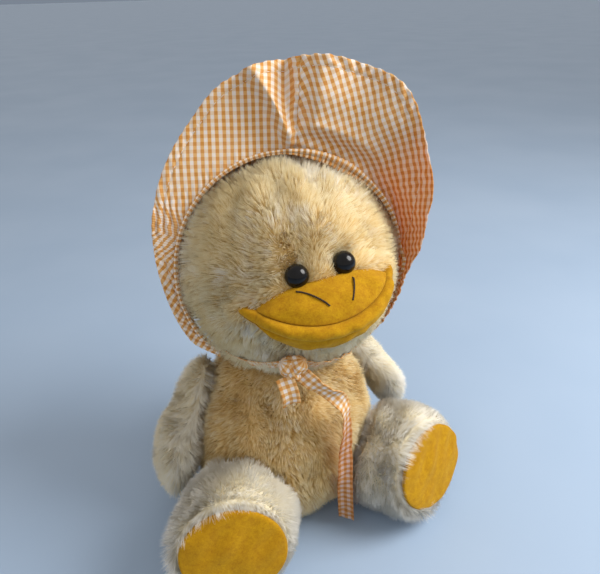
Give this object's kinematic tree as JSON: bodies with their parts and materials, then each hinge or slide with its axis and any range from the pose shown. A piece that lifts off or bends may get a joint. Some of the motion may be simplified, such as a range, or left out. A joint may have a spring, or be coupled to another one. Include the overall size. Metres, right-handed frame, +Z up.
{
  "type": "plush duckling in a bonnet",
  "caption": "Seated stuffed duckling with a felt bill, safety eyes, hinged wings and legs, and a tied gingham bonnet with a wide brim.",
  "frame": {"origin": "middle of the flat seat under the torso", "axes": "+Z up; the duckling faces -Y, and its own right side is at -X"},
  "size_m": [0.2506, 0.2112, 0.3505],
  "materials": {
    "cream_plush_torso": "long pile plush",
    "cream_plush_tail": "long pile plush",
    "cream_plush_head": "long pile plush",
    "cream_plush_wing_right": "long pile plush",
    "cream_plush_wing_left": "long pile plush",
    "pale_plush_leg_right": "long pile plush",
    "pale_plush_leg_left": "long pile plush",
    "black_gloss_eye_right": "polished",
    "black_gloss_eye_left": "polished",
    "washer_right": "moulded",
    "washer_left": "moulded",
    "mustard_felt_bill_upper": "felt",
    "mustard_felt_bill_lower": "felt",
    "black_thread_right": "embroidery thread",
    "black_thread_left": "embroidery thread",
    "mustard_felt_sole_right": "felt",
    "mustard_felt_sole_left": "felt",
    "gingham_brim": "woven check",
    "gingham_crown": "woven check",
    "gingham_binding": "woven check",
    "gingham_strap_right": "woven check",
    "gingham_strap_left": "woven check",
    "gingham_knot": "woven check",
    "gingham_tail_long": "woven check",
    "gingham_tail_short": "woven check"
  },
  "bodies": {
    "torso": {"torso": "cream_plush_torso", "tail": "cream_plush_tail"},
    "head": {"head": "cream_plush_head", "eye_right": "black_gloss_eye_right", "eye_left": "black_gloss_eye_left", "eye_washer_right": "washer_right", "eye_washer_left": "washer_left", "bill_upper": "mustard_felt_bill_upper", "bill_lower": "mustard_felt_bill_lower", "nostril_thread_right": "black_thread_right", "nostril_thread_left": "black_thread_left", "bonnet_brim": "gingham_brim", "bonnet_crown": "gingham_crown", "bonnet_binding": "gingham_binding", "tie_strap_right": "gingham_strap_right", "tie_strap_left": "gingham_strap_left", "tie_knot": "gingham_knot", "tie_tail_long": "gingham_tail_long", "tie_tail_short": "gingham_tail_short"},
    "wing_right": {"wing_right": "cream_plush_wing_right"},
    "wing_left": {"wing_left": "cream_plush_wing_left"},
    "leg_right": {"leg_right": "pale_plush_leg_right", "sole_right": "mustard_felt_sole_right"},
    "leg_left": {"leg_left": "pale_plush_leg_left", "sole_left": "mustard_felt_sole_left"}
  },
  "joints": [
    {"name": "head_turn", "type": "hinge", "parent": "torso", "child": "head", "pos_m": [0, 0, 0.147], "axis": [0, 0, 1], "range_deg": [-12, 12], "stiffness_Nm_per_rad": 0.25, "deforming": ["tie_tail_long"]},
    {"name": "wing_right_lift", "type": "hinge", "parent": "torso", "child": "wing_right", "pos_m": [-0.04739, 0.01297, 0.137], "axis": [0, 1, 0], "range_deg": [0, 60]},
    {"name": "wing_left_lift", "type": "hinge", "parent": "torso", "child": "wing_left", "pos_m": [0.04739, 0.01297, 0.137], "axis": [0, -1, 0], "range_deg": [0, 45]},
    {"name": "leg_right_lift", "type": "hinge", "parent": "torso", "child": "leg_right", "pos_m": [-0.05214, -0.04968, 0.09], "axis": [-0.6626, 0.749, 0], "range_deg": [0, 30]},
    {"name": "leg_left_lift", "type": "hinge", "parent": "torso", "child": "leg_left", "pos_m": [0.05214, -0.04968, 0.09], "axis": [-0.6626, -0.749, 0], "range_deg": [0, 30]}
  ]
}
